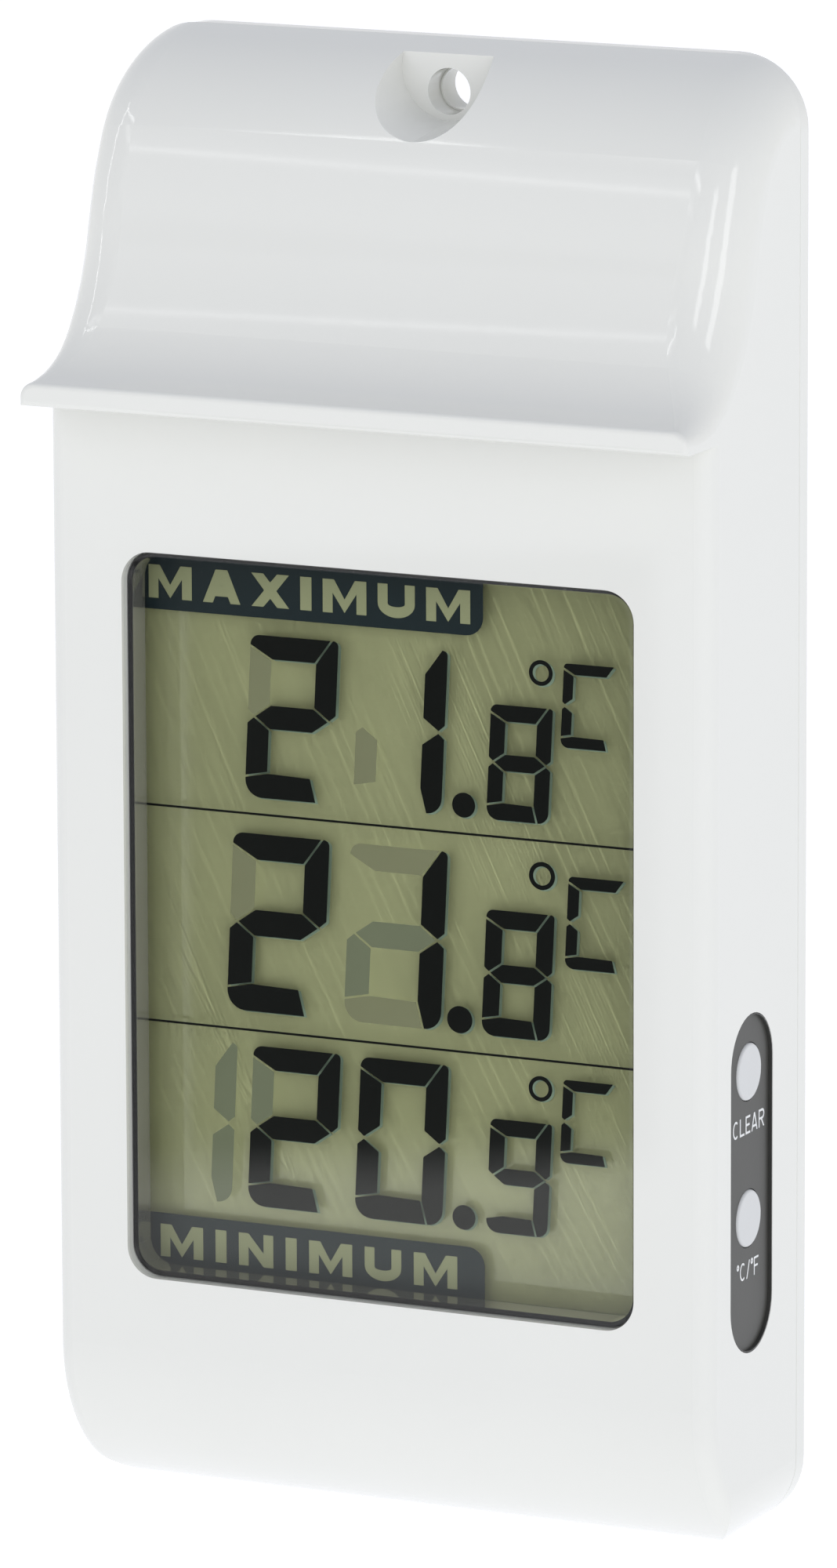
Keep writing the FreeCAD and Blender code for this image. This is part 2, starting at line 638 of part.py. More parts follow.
# ---------------------------------------------------------------- side panel and buttons
SWITCH_X = BUTTON_BOARD_X + BUTTON_BOARD_THICK
SWITCH_TOP = SWITCH_X + 2.4
SWITCH_HALF = 2.2
PLUNGER_R = 1.0
PLUNGER_BORE = 1.4
PLUNGER_TIP = SWITCH_TOP + 0.65
FLANGE_R = 3.8
FLANGE_FACE = HALF - WALL - 0.1
FLANGE_THICK = 0.7
BUTTON_FACE = HALF - PANEL_RECESS + PANEL_THICK + 0.2


def label_panel():
    """The thin stadium-shaped label with two holes for the buttons."""
    start = HALF - PANEL_RECESS
    label = side_slot(PANEL_WIDE - 0.2, PANEL_LONG - 0.2, start, start + PANEL_THICK)
    for h in BUTTON_HEIGHTS.values():
        label = label.cut(rod_side(BUTTON_HOLE_R, PANEL_DEPTH, h, start - CUT, HALF))
    return label


def push_button(height):
    """A round cap with a flange inside the wall and a stem to the switch."""
    cap = rod_side(BUTTON_R, PANEL_DEPTH, height, FLANGE_FACE - FLANGE_THICK, BUTTON_FACE)
    cap = cap.makeFillet(0.3, edges_through(cap, [at(BUTTON_FACE, PANEL_DEPTH + BUTTON_R, height)]))
    flange = rod_side(FLANGE_R, PANEL_DEPTH, height, FLANGE_FACE - FLANGE_THICK, FLANGE_FACE)
    stem = rod_side(1.3, PANEL_DEPTH, height, PLUNGER_TIP, FLANGE_FACE - FLANGE_THICK)
    return fuse_all([cap, flange, stem])


def switch_body(height):
    """The square body of a tactile switch, bored for its plunger."""
    body = box(SWITCH_X, SWITCH_TOP, PANEL_DEPTH - SWITCH_HALF, PANEL_DEPTH + SWITCH_HALF,
               height - SWITCH_HALF, height + SWITCH_HALF)
    return body.cut(rod_side(PLUNGER_R + 0.06, PANEL_DEPTH, height, SWITCH_TOP - PLUNGER_BORE, HALF))


def switch_plunger(height):
    """The plunger between the switch and the button's stem."""
    return rod_side(PLUNGER_R, PANEL_DEPTH, height, SWITCH_TOP - PLUNGER_BORE + BUTTON_TRAVEL + 0.2,
                    PLUNGER_TIP)


# ---------------------------------------------------------------- write the nodes
def main():
    """Build every node and write it."""
    os.makedirs("parts", exist_ok=True)
    save("front_housing", front_housing())
    save("rear_cover", rear_cover())
    save("battery_door", battery_door())
    save("case_screws", case_screws())
    save("battery_cell", battery_cell())
    save("battery_contact_positive", battery_contact_positive())
    save("battery_contact_negative", battery_contact_negative())
    save("battery_spring", battery_spring())
    save("display_window", display_window())
    save("window_tape", window_tape())
    save("lcd_frame", lcd_frame())
    for node, layer in display_layers().items():
        save(node, layer)
    save("zebra_strip_upper", zebra_strip(1))
    save("zebra_strip_lower", zebra_strip(-1))
    save("main_board", main_board())
    save("board_screws", board_screws())
    save("chip_blob", chip_blob())
    save("crystal_can", crystal_can())
    save("board_capacitors", board_capacitors())
    save("temperature_sensor", temperature_sensor())
    save("button_board", button_board())
    save("button_board_pins", button_board_pins())
    save("label_panel", label_panel())
    for name, height in BUTTON_HEIGHTS.items():
        save(name + "_button", push_button(height))
        save(name + "_switch_body", switch_body(height))
        save(name + "_switch_plunger", switch_plunger(height))


main()
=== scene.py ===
"""Looks of a wall thermometer with a three-row liquid crystal display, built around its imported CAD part."""

import json
import math

import bmesh
import bpy
from mathutils import Matrix, Vector
from mathutils.geometry import tessellate_polygon


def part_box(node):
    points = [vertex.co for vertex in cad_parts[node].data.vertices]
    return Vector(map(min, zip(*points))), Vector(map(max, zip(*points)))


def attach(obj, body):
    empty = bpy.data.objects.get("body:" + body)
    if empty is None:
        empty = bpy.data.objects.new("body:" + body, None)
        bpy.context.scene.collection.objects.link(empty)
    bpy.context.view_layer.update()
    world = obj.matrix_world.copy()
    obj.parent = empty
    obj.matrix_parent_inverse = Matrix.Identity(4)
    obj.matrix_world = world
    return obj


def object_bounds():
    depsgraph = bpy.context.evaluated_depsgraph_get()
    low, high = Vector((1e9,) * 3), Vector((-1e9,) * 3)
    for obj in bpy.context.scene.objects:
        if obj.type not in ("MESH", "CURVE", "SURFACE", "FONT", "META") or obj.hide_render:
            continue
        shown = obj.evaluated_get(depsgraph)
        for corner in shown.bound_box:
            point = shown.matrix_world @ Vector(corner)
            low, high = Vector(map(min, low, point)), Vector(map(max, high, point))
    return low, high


MM = 0.001  # metres in a millimetre; every size below is in millimetres unless it says otherwise

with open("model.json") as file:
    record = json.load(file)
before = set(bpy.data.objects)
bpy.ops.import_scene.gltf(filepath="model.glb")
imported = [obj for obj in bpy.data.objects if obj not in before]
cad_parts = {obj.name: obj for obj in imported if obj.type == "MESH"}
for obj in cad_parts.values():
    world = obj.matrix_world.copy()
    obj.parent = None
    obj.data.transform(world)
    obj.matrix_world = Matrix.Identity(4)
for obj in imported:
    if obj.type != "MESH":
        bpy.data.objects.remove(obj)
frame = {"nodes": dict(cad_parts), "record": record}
cad_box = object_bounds()
nodes = frame["nodes"]


# ---------------------------------------------------------------- helpers for meshes


def add_mesh(name, vertices, faces, material, slot):
    """A flat-shaded mesh piece in the row frame, given in metres, that rides the case. Its slot argument is
    not used."""
    mesh = bpy.data.meshes.new(name)
    mesh.from_pydata([tuple(v) for v in vertices], [], faces)
    mesh.materials.append(material)
    tidy = bmesh.new()
    tidy.from_mesh(mesh)
    bmesh.ops.recalc_face_normals(tidy, faces=tidy.faces)
    tidy.to_mesh(mesh)
    tidy.free()
    for polygon in mesh.polygons:
        polygon.use_smooth = False
    piece = bpy.data.objects.new(name, mesh)
    bpy.context.scene.collection.objects.link(piece)
    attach(piece, "case")
    return piece


def plates(outlines, place, thickness):
    """Vertices and faces of flat plates. Each outline is a list of (u, v) points in mm, and
    place(u, v, depth) puts a point in the row frame, with depth 0 on the plate's front."""
    vertices, faces = [], []
    for outline in outlines:
        first, count = len(vertices), len(outline)
        vertices += [place(u, v, 0.0) for u, v in outline]
        vertices += [place(u, v, thickness) for u, v in outline]
        front = [first + i for i in range(count)]
        back = [first + count + i for i in range(count)]
        faces += [front, back[::-1]]
        faces += [(front[i], back[i], back[(i + 1) % count], front[(i + 1) % count]) for i in range(count)]
    return vertices, faces


def inset(outline, distance):
    """A convex counter-clockwise outline, moved inwards by a distance on every edge."""
    lines = []
    for (x0, y0), (x1, y1) in zip(outline, outline[1:] + outline[:1]):
        length = math.hypot(x1 - x0, y1 - y0)
        normal = (-(y1 - y0) / length, (x1 - x0) / length)
        lines.append((normal, normal[0] * x0 + normal[1] * y0 + distance))
    corners = []
    for (n0, c0), (n1, c1) in zip([lines[-1]] + lines[:-1], lines):
        det = n0[0] * n1[1] - n0[1] * n1[0]
        corners.append(((c0 * n1[1] - c1 * n0[1]) / det, (n0[0] * c1 - n1[0] * c0) / det))
    return corners


def round_corners(outline, radii, steps=8):
    """An outline with arcs of the given radii, 0 for a sharp corner, in place of its corners."""
    rounded = []
    for i, (corner, radius) in enumerate(zip(outline, radii)):
        if radius <= 0:
            rounded.append(corner)
            continue
        p = Vector(corner)
        to_last = Vector(outline[i - 1]) - p
        to_next = Vector(outline[(i + 1) % len(outline)]) - p
        half = to_last.angle(to_next) / 2
        reach = min(radius / math.tan(half), 0.95 * to_last.length, 0.95 * to_next.length)
        start, end = p + to_last.normalized() * reach, p + to_next.normalized() * reach
        centre = p + (to_last.normalized() + to_next.normalized()).normalized() * reach / math.cos(half)
        turn = (start - centre).angle_signed(end - centre)
        for k in range(steps + 1):
            arm = start - centre
            arm.rotate(Matrix.Rotation(-turn * k / steps, 2))
            rounded.append(tuple(centre + arm))
    return rounded


def disc(centre, radius, steps=48):
    """The outline of a disc."""
    angles = [2 * math.pi * k / steps for k in range(steps)]
    return [(centre[0] + radius * math.cos(a), centre[1] + radius * math.sin(a)) for a in angles]


def ring(centre, outer, inner, steps=48):
    """The outlines of a ring, as quads that meet edge to edge."""
    outside, inside = disc(centre, outer, steps), disc(centre, inner, steps)
    turns = [(k, (k + 1) % steps) for k in range(steps)]
    return [[outside[k], outside[n], inside[n], inside[k]] for k, n in turns]


# ---------------------------------------------------------------- helpers for materials


def new_material(name):
    """A node material with nothing in it but its output, its node tree and that output."""
    material = bpy.data.materials.new(name)
    material.use_nodes = True
    tree = material.node_tree
    tree.nodes.clear()
    output = tree.nodes.new("ShaderNodeOutputMaterial")
    return material, tree, output


def solid_material(name, colour, roughness, mottle=0.03, mottle_size=18.0, grain=0.0, grain_size=0.4,
                   roughness_spread=0.0, **sockets):
    """A principled surface whose colour and roughness wander a little and whose surface has a fine grain.
    Sizes are in mm; mottle is the share by which the colour wanders."""
    material, tree, output = new_material(name)
    shader = tree.nodes.new("ShaderNodeBsdfPrincipled")
    tree.links.new(shader.outputs["BSDF"], output.inputs["Surface"])
    shader.inputs["Roughness"].default_value = roughness
    for socket, value in sockets.items():
        shader.inputs[socket.replace("_", " ")].default_value = value
    place = tree.nodes.new("ShaderNodeTexCoord")
    clouds = tree.nodes.new("ShaderNodeTexNoise")
    clouds.inputs["Scale"].default_value = 1 / (mottle_size * MM)
    clouds.inputs["Detail"].default_value = 4
    tree.links.new(place.outputs["Object"], clouds.inputs["Vector"])
    ramp = tree.nodes.new("ShaderNodeValToRGB")
    ramp.color_ramp.elements[0].position = 0.3
    ramp.color_ramp.elements[1].position = 0.7
    ramp.color_ramp.elements[0].color = (*[c * (1 - mottle) for c in colour], 1)
    ramp.color_ramp.elements[1].color = (*colour, 1)
    tree.links.new(clouds.outputs["Fac"], ramp.inputs["Fac"])
    tree.links.new(ramp.outputs["Color"], shader.inputs["Base Color"])
    if roughness_spread:
        spread = tree.nodes.new("ShaderNodeMapRange")
        spread.inputs["To Min"].default_value = roughness
        spread.inputs["To Max"].default_value = roughness + roughness_spread
        tree.links.new(clouds.outputs["Fac"], spread.inputs["Value"])
        tree.links.new(spread.outputs["Result"], shader.inputs["Roughness"])
    if grain:
        speckle = tree.nodes.new("ShaderNodeTexNoise")
        speckle.inputs["Scale"].default_value = 1 / (grain_size * MM)
        speckle.inputs["Detail"].default_value = 2
        tree.links.new(place.outputs["Object"], speckle.inputs["Vector"])
        bump = tree.nodes.new("ShaderNodeBump")
        bump.inputs["Strength"].default_value = grain
        bump.inputs["Distance"].default_value = 0.05 * MM
        tree.links.new(speckle.outputs["Fac"], bump.inputs["Height"])
        tree.links.new(bump.outputs["Normal"], shader.inputs["Normal"])
    return material


GLANCING_POWER = 5  # of Schlick's rule for how a surface's mirroring grows towards glancing view


def clear_material(name, tint, ior, roughness=0.04):
    """A clear sheet: what is behind it shows, tinted, and both its faces mirror, more at a flat angle."""
    material, tree, output = new_material(name)
    see_through = tree.nodes.new("ShaderNodeBsdfTransparent")
    see_through.inputs["Color"].default_value = (*tint, 1)
    surface = tree.nodes.new("ShaderNodeBsdfPrincipled")
    surface.inputs["Base Color"].default_value = (1, 1, 1, 1)
    surface.inputs["Metallic"].default_value = 1.0
    surface.inputs["Roughness"].default_value = roughness
    straight_on = ((ior - 1) / (ior + 1)) ** 2
    glancing = tree.nodes.new("ShaderNodeLayerWeight")
    glancing.inputs["Blend"].default_value = 0.5
    steep = tree.nodes.new("ShaderNodeMath")
    steep.operation = "POWER"
    steep.inputs[1].default_value = GLANCING_POWER
    share = tree.nodes.new("ShaderNodeMath")
    share.operation = "MULTIPLY_ADD"
    share.inputs[1].default_value = 1 - straight_on
    share.inputs[2].default_value = straight_on
    mix = tree.nodes.new("ShaderNodeMixShader")
    tree.links.new(glancing.outputs["Facing"], steep.inputs[0])
    tree.links.new(steep.outputs["Value"], share.inputs[0])
    tree.links.new(share.outputs["Value"], mix.inputs["Fac"])
    tree.links.new(see_through.outputs["BSDF"], mix.inputs[1])
    tree.links.new(surface.outputs["BSDF"], mix.inputs[2])
    tree.links.new(mix.outputs["Shader"], output.inputs["Surface"])
    return material


# ---------------------------------------------------------------- materials of the CAD nodes

WHITE_PLASTIC = (0.77, 0.772, 0.735)

slot_materials = {
    "case_plastic": solid_material("case_plastic", WHITE_PLASTIC, 0.07, mottle=0.012, mottle_size=30,
                                   grain=0.03, grain_size=0.9, roughness_spread=0.03),
    "screw_steel": solid_material("screw_steel", (0.62, 0.62, 0.63), 0.28, mottle=0.12, mottle_size=1.5,
                                  grain=0.2, grain_size=0.15, Metallic=1.0),
    "cell_jacket": solid_material("cell_jacket", (0.20, 0.22, 0.24), 0.35, mottle=0.1, mottle_size=4,
                                  Metallic=0.6),
    "spring_metal": solid_material("spring_metal", (0.72, 0.70, 0.66), 0.25, mottle=0.1, mottle_size=1.2,
                                   grain=0.15, grain_size=0.2, Metallic=1.0),
    "clear_window": clear_material("clear_window", (0.97, 0.975, 0.965), ior=1.36),
    "black_tape": solid_material("black_tape", (0.012, 0.012, 0.013), 0.6, mottle=0.3, mottle_size=0.8),
    "dark_bezel": solid_material("dark_bezel", (0.06, 0.061, 0.047), 0.1, mottle=0.2, mottle_size=6,
                                 grain=0.04, grain_size=0.3, Specular_IOR_Level=0.9),
    "polarizer_film": clear_material("polarizer_film", (0.93, 0.94, 0.90), ior=1.08, roughness=0.08),
    "display_glass": clear_material("display_glass", (0.985, 0.99, 0.985), ior=1.1),
    "reflector_film": solid_material("reflector_film", (0.83, 0.84, 0.475), 0.6, mottle=0.06, mottle_size=9,
                                     Coat_Weight=1.0, Coat_Roughness=0.06, Coat_IOR=2.1),
    "zebra_rubber": solid_material("zebra_rubber", (0.10, 0.10, 0.11), 0.7, mottle=0.4, mottle_size=0.3),
    "board_laminate": solid_material("board_laminate", (0.03, 0.16, 0.06), 0.35, mottle=0.35, mottle_size=1.6,
                                     grain=0.15, grain_size=0.5),
    "chip_resin": solid_material("chip_resin", (0.012, 0.012, 0.014), 0.3, mottle=0.4, mottle_size=2,
                                 grain=0.2),
    "capacitor_ceramic": solid_material("capacitor_ceramic", (0.42, 0.30, 0.17), 0.5, mottle=0.2,
                                        mottle_size=0.6),
    "sensor_resin": solid_material("sensor_resin", (0.02, 0.02, 0.022), 0.3, mottle=0.3, mottle_size=1.0),
    "grey_label": solid_material("grey_label", (0.055, 0.055, 0.049), 0.42, mottle=0.06, mottle_size=5,
                                 grain=0.12, grain_size=0.25),
    "button_plastic": solid_material("button_plastic", (0.62, 0.63, 0.63), 0.2, mottle=0.02, mottle_size=6,
                                     grain=0.05, grain_size=0.3),
    "switch_body": solid_material("switch_body", (0.02, 0.02, 0.02), 0.45, mottle=0.3, mottle_size=1.5,
                                  grain=0.1),
    "switch_plunger": solid_material("switch_plunger", (0.10, 0.03, 0.02), 0.4, mottle=0.2, mottle_size=1.0),
}

CLEAR_SLOTS = ("clear_window", "polarizer_film", "display_glass")
node_slots = {part["node"]: part["material_slot"] for part in frame["record"]["subparts"]}
for node_name, node in nodes.items():
    slot_name = node_slots[node_name]
    node.data.materials.clear()
    node.data.materials.append(slot_materials[slot_name])
    if slot_name in CLEAR_SLOTS:
        node.visible_shadow = False
        node.visible_diffuse = False
        node.visible_glossy = False


# ---------------------------------------------------------------- liquid crystal display

segment_black = solid_material("segment_black", (0.008, 0.009, 0.009), 0.3, mottle=0.1, mottle_size=3,
                               Specular_IOR_Level=0.1)
segment_blue = solid_material("segment_blue", (0.016, 0.027, 0.034), 0.3, mottle=0.1, mottle_size=5,
                              Specular_IOR_Level=0.2)
# Painted shadow: a darker copy of the lit segments, drawn on the reflector, stands in for the shadow they
# cast.
segment_painted_shadow = solid_material("segment_painted_shadow", (0.27, 0.36, 0.28), 0.6, mottle=0.06, mottle_size=9)
segment_idle = solid_material("segment_idle", (0.17, 0.19, 0.12), 0.55, mottle=0.06, mottle_size=9)
segment_faint = solid_material("segment_faint", (0.22, 0.225, 0.13), 0.55, mottle=0.06, mottle_size=9)
display_ground = solid_material("display_ground", (0.33, 0.345, 0.20), 0.55, mottle=0.06, mottle_size=9)

CRYSTAL_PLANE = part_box("lcd_front_glass")[1].y - 0.04 * MM  # just inside the rear face of the front glass
REFLECTOR_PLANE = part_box("lcd_reflector")[0].y - 0.04 * MM  # just in front of the reflector
SHADOW_SHIFT = (-0.23, -0.36)  # sideways and down, from a segment to its painted shadow on the reflector
PLATE = 0.02  # thickness of what is drawn on the display
SEGMENT_GAP = 0.22  # clear gap between two segments
SLANT = 0.05  # sideways lean of a digit, per mm of height

SEGMENTS_OF = {"0": "abcdef", "1": "bc", "2": "abged", "8": "abcdefg", "9": "abcdfg", "C": "adef"}


def on_display(u, v, depth):
    """The row-frame point at (u, v) mm on the liquid crystal, at a depth behind it."""
    return (u * MM, CRYSTAL_PLANE + depth * MM, v * MM)


def on_reflector(u, v, depth):
    """The row-frame point on the reflector where the painted shadow of (u, v) mm on the liquid crystal is
    drawn.
    """
    return ((u + SHADOW_SHIFT[0]) * MM, REFLECTOR_PLANE + depth * MM, (v + SHADOW_SHIFT[1]) * MM)


def segment_outline(letter, width, height, stroke):
    """One segment of a seven-segment digit as a convex outline and its corner radii, in a box from (0, 0).
    The number beside a corner's index is its radius in strokes."""
    w, h, s, m = width, height, stroke, height / 2
    outlines = {
        "a": ([(0, h - 0.45 * s), (s, h - s), (w - s, h - s), (w - 0.3 * s, h), (0, h)], {4: 0.6}),
        "b": ([(w - 0.3 * s, h), (w - s, h - s), (w - s, m + 0.5 * s), (w - 0.3 * s, m), (w, m + 0.25 * s),
               (w, h)], {5: 0.75}),
        "c": ([(w, 0), (w, m - 0.25 * s), (w - 0.3 * s, m), (w - s, m - 0.5 * s), (w - s, s),
               (w - 0.7 * s, 0)], {0: 0.8}),
        "d": ([(0, 0.85 * s), (0, 0), (w - 0.7 * s, 0), (w - s, s), (s, 1.05 * s)], {1: 0.8}),
        "e": ([(0, 0.85 * s), (s, 1.05 * s), (s, m - 0.5 * s), (0.3 * s, m), (0, m - 0.25 * s)], {}),
        "f": ([(0, m + 0.25 * s), (0.3 * s, m), (s, m + 0.5 * s), (s, h - s), (0, h - 0.45 * s)], {}),
        "g": ([(0.3 * s, m), (s, m - 0.5 * s), (w - s, m - 0.5 * s), (w - 0.3 * s, m), (w - s, m + 0.5 * s),
               (s, m + 0.5 * s)], {}),
    }
    corners, rounds = outlines[letter]
    radii = [rounds.get(i, 0) * s for i in range(len(corners))]
    return corners, radii


def digit_outlines(letters, left, bottom, width, height, stroke):
    """The segments named by letters, gapped, rounded and leaned over, their box's corner at (left, bottom)."""
    outlines = []
    for letter in letters:
        corners, radii = segment_outline(letter, width, height, stroke)
        outline = round_corners(inset(corners, SEGMENT_GAP / 2), radii)
        outlines.append([(left + x + SLANT * y, bottom + y) for x, y in outline])
    return outlines


# Every row has two large digits, a point, a small digit, a degree ring and the unit letter.
BIG = (10.0, 16.9, 2.62)  # width, height and stroke of a large digit in the small rows
SMALL = (7.0, 11.95, 1.88)  # the same of the digit after the point
UNIT = (6.15, 8.75, 1.32)  # the same of the unit letter
POINT_R = 1.27
POINT_RISE = 1.3  # decimal point's centre above the baseline
RING_R = (1.30, 0.88)  # outer and inner
RING_RISE = 15.4  # degree ring's centre above the baseline
rows = {
    "maximum": {"text": "218", "base": -71.0, "scale": 1.0, "tens": -17.3, "ones": -5.2, "point": 7.2,
                "tenths": 9.55, "ring": 15.7, "unit": 17.7, "unit_rise": 7.95,
                "faint": {"tens": "f", "ones": "e"}},
    "current": {"text": "218", "base": -93.1, "scale": 1.1, "tens": -19.5, "ones": -6.35, "point": 6.7,
                "tenths": 8.95, "ring": 15.8, "unit": 18.15, "unit_rise": 7.65,
                "idle": {"ones": "ge"}, "faint": {"tens": "f", "ones": "ad"}},
    "minimum": {"text": "209", "base": -113.3, "scale": 1.0, "tens": -17.3, "ones": -5.25, "point": 7.1,
                "tenths": 9.4, "ring": 15.6, "unit": 17.6, "unit_rise": 7.95,
                "idle": {"hundreds": "bc", "tens": "f"}},
}
HUNDREDS_STEP = 11.6  # from the leading 1 to the first large digit


def scaled(sizes, factor):
    return [size * factor for size in sizes]


def idle_outlines(row, letters_of):
    """Segments of a row's large digits that are switched off and still just visible."""
    outlines = []
    for place, letters in letters_of.items():
        left = row["tens"] - HUNDREDS_STEP * row["scale"] if place == "hundreds" else row[place]
        outlines += digit_outlines(letters, left, row["base"], *scaled(BIG, row["scale"]))
    return outlines


def draw_row(name, row):
    """The segments of one row of the display: lit, with a painted shadow of them on the reflector, and idle.
    """
    k, base = row["scale"], row["base"]
    outlines = digit_outlines(SEGMENTS_OF[row["text"][0]], row["tens"], base, *scaled(BIG, k))
    outlines += digit_outlines(SEGMENTS_OF[row["text"][1]], row["ones"], base, *scaled(BIG, k))
    outlines += digit_outlines(SEGMENTS_OF[row["text"][2]], row["tenths"], base, *scaled(SMALL, k))
    outlines += digit_outlines(SEGMENTS_OF["C"], row["unit"], base + row["unit_rise"], *scaled(UNIT, k))
    outlines.append(disc((row["point"], base + POINT_RISE * k), POINT_R * k))
    outlines += ring((row["ring"], base + RING_RISE * k), RING_R[0] * k, RING_R[1] * k)
    add_mesh("segments_" + name, *plates(outlines, on_display, PLATE), segment_black, "display_glass")
    # Painted shadow of the segments: darker plates of the same outlines, shifted, on the reflector.
    add_mesh("shadow_" + name, *plates(outlines, on_reflector, PLATE), segment_painted_shadow, "reflector_film")
    for strength, material in (("idle", segment_idle), ("faint", segment_faint)):
        if strength in row:
            shape = plates(idle_outlines(row, row[strength]), on_display, PLATE)
            piece = add_mesh(f"{strength}_{name}", *shape, material, "display_glass")
            piece.visible_shadow = False
            piece.visible_diffuse = False


for row_name, row in rows.items():
    draw_row(row_name, row)

# Thin lines part the rows.
glass_low, glass_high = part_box("lcd_rear_glass")
DISPLAY_MARGIN = 0.6  # from the glass edge to what is drawn, at the sides
BLOCK_MARGIN = 0.3  # the same at the top and bottom
display_left, display_right = glass_low.x / MM + DISPLAY_MARGIN, glass_high.x / MM - DISPLAY_MARGIN
DIVIDER_HEIGHTS = (-72.6, -94.95)
DIVIDER_WIDTH = 0.24
lines = [[(display_left, z - DIVIDER_WIDTH / 2), (display_right, z - DIVIDER_WIDTH / 2),
          (display_right, z + DIVIDER_WIDTH / 2), (display_left, z + DIVIDER_WIDTH / 2)]
         for z in DIVIDER_HEIGHTS]
add_mesh("row_lines", *plates(lines, on_display, PLATE), segment_black, "display_glass")

# The words for the upper and lower rows stand in dark blocks in the display's left corners.
BLOCK_RIGHT = 9.4
UPPER_BLOCK_BOTTOM = -52.45
LOWER_BLOCK_TOP = -115.0
BLOCK_CORNER = 1.9
block_top = glass_high.z / MM - BLOCK_MARGIN
block_bottom = glass_low.z / MM + BLOCK_MARGIN
upper_block = round_corners([(display_left, UPPER_BLOCK_BOTTOM), (BLOCK_RIGHT, UPPER_BLOCK_BOTTOM),
                             (BLOCK_RIGHT, block_top), (display_left, block_top)], [0, BLOCK_CORNER, 0, 0])
lower_block = round_corners([(display_left, block_bottom), (BLOCK_RIGHT, block_bottom),
                             (BLOCK_RIGHT, LOWER_BLOCK_TOP), (display_left, LOWER_BLOCK_TOP)],
                            [0, 0, BLOCK_CORNER, 0])
add_mesh("upper_block", *plates([upper_block], on_display, PLATE), segment_blue, "display_glass")
add_mesh("lower_block", *plates([lower_block], on_display, PLATE), segment_blue, "display_glass")


def arc(centre, radii, start, end, steps=14):
    """Points of an ellipse's arc between two angles in degrees."""
    angles = [math.radians(start + (end - start) * k / steps) for k in range(steps + 1)]
    return [(centre[0] + radii[0] * math.cos(a), centre[1] + radii[1] * math.sin(a)) for a in angles]


def letter_outlines(character, stem, bar):
    """Outer outline and holes of a plain block letter in a box from (0, 0) to (1, 1). stem is the thickness
    of its upright strokes and bar of its level ones, as shares of the box."""
    s, t = stem, bar
    if character == "M":
        return [[(0, 0), (s, 0), (s, 0.60), (0.5, 0.02), (1 - s, 0.60), (1 - s, 0), (1, 0), (1, 1),
                 (1 - 1.15 * s, 1), (0.5, 0.42), (1.15 * s, 1), (0, 1)]]
    if character == "A":
        hole_top = 1 - 1.45 * t
        return [[(0, 0), (s, 0), (s + 0.07, 0.2), (1 - s - 0.07, 0.2), (1 - s, 0), (1, 0), (0.5 + 0.6 * s, 1),
                 (0.5 - 0.6 * s, 1)],
                [(s + 0.14, 0.2 + t), (1 - s - 0.14, 0.2 + t), (0.5, hole_top)]]
    if character == "X":
        return [[(0, 0), (1.2 * s, 0), (0.5, 0.5 - 0.75 * t), (1 - 1.2 * s, 0), (1, 0),
                 (0.5 + 0.62 * s, 0.5), (1, 1), (1 - 1.2 * s, 1), (0.5, 0.5 + 0.75 * t), (1.2 * s, 1), (0, 1),
                 (0.5 - 0.62 * s, 0.5)]]
    if character == "I":
        return [[(0, 0), (1, 0), (1, 1), (0, 1)]]
    if character == "N":
        return [[(0, 0), (s, 0), (s, 0.58), (1 - s, 0), (1, 0), (1, 1), (1 - s, 1), (1 - s, 0.42), (s, 1),
                 (0, 1)]]
    if character == "U":
        outer = arc((0.5, 0.42), (0.5, 0.42), 180, 360)
        inner = arc((0.5, 0.42), (0.5 - s, 0.42 - t), 360, 180)
        return [[(0, 1)] + outer + [(1, 1), (1 - s, 1)] + inner + [(s, 1)]]
    if character == "C":
        return [arc((0.5, 0.5), (0.5, 0.5), 50, 310) + arc((0.5, 0.5), (0.5 - s, 0.5 - t), 310, 50)]
    if character == "L":
        return [[(0, 0), (1, 0), (1, t), (s, t), (s, 1), (0, 1)]]
    if character == "E":
        return [[(0, 0), (1, 0), (1, t), (s, t), (s, 0.5 - t / 2), (0.85, 0.5 - t / 2), (0.85, 0.5 + t / 2),
                 (s, 0.5 + t / 2), (s, 1 - t), (1, 1 - t), (1, 1), (0, 1)]]
    if character == "F":
        return [[(0, 0), (s, 0), (s, 0.5 - t / 2), (0.85, 0.5 - t / 2), (0.85, 0.5 + t / 2), (s, 0.5 + t / 2),
                 (s, 1 - t), (1, 1 - t), (1, 1), (0, 1)]]
    if character == "R":
        bowl = arc((0.6, 0.71), (0.4, 0.29), -90, 90)
        hole = arc((0.6, 0.71), (0.4 - s, 0.29 - t), -90, 90)
        return [[(0, 0), (s, 0), (s, 0.42), (0.42, 0.42), (1 - 1.1 * s, 0), (1, 0), (0.62, 0.42)] + bowl
                + [(0, 1)],
                [(s, 0.42 + t)] + hole + [(s, 1 - t)]]
    if character == "/":
        return [[(0, 0), (1.1 * s, 0), (1, 1), (1 - 1.1 * s, 1)]]
    if character == "o":
        return [arc((0.5, 0.5), (0.5, 0.5), 0, 360, 32)[:-1],
                arc((0.5, 0.5), (0.5 - s, 0.5 - t), 0, 360, 32)[:-1]]
    raise ValueError(f"no letter {character!r}")


def draw_word(name, word, left, bottom, boxes, gap, stroke, place, material, slot):
    """A word of flat block letters on the surface that place() describes. boxes gives each character's
    width, height and rise above the base line, and stroke the thickness of its strokes, all in mm."""
    vertices, faces = [], []
    for character in word:
        width, height, rise = boxes[character]
        outlines = letter_outlines(character, stroke / width, stroke / height)
        triangles = tessellate_polygon([[Vector((x, y, 0)) for x, y in outline] for outline in outlines])
        first = len(vertices)
        vertices += [place(left + x * width, bottom + rise + y * height, 0.0)
                     for outline in outlines for x, y in outline]
        faces += [tuple(first + i for i in triangle) for triangle in triangles]
        left += width + gap
    add_mesh(name, vertices, faces, material, slot)


LETTER_LIFT = 0.02  # between a letter and the surface it stands on


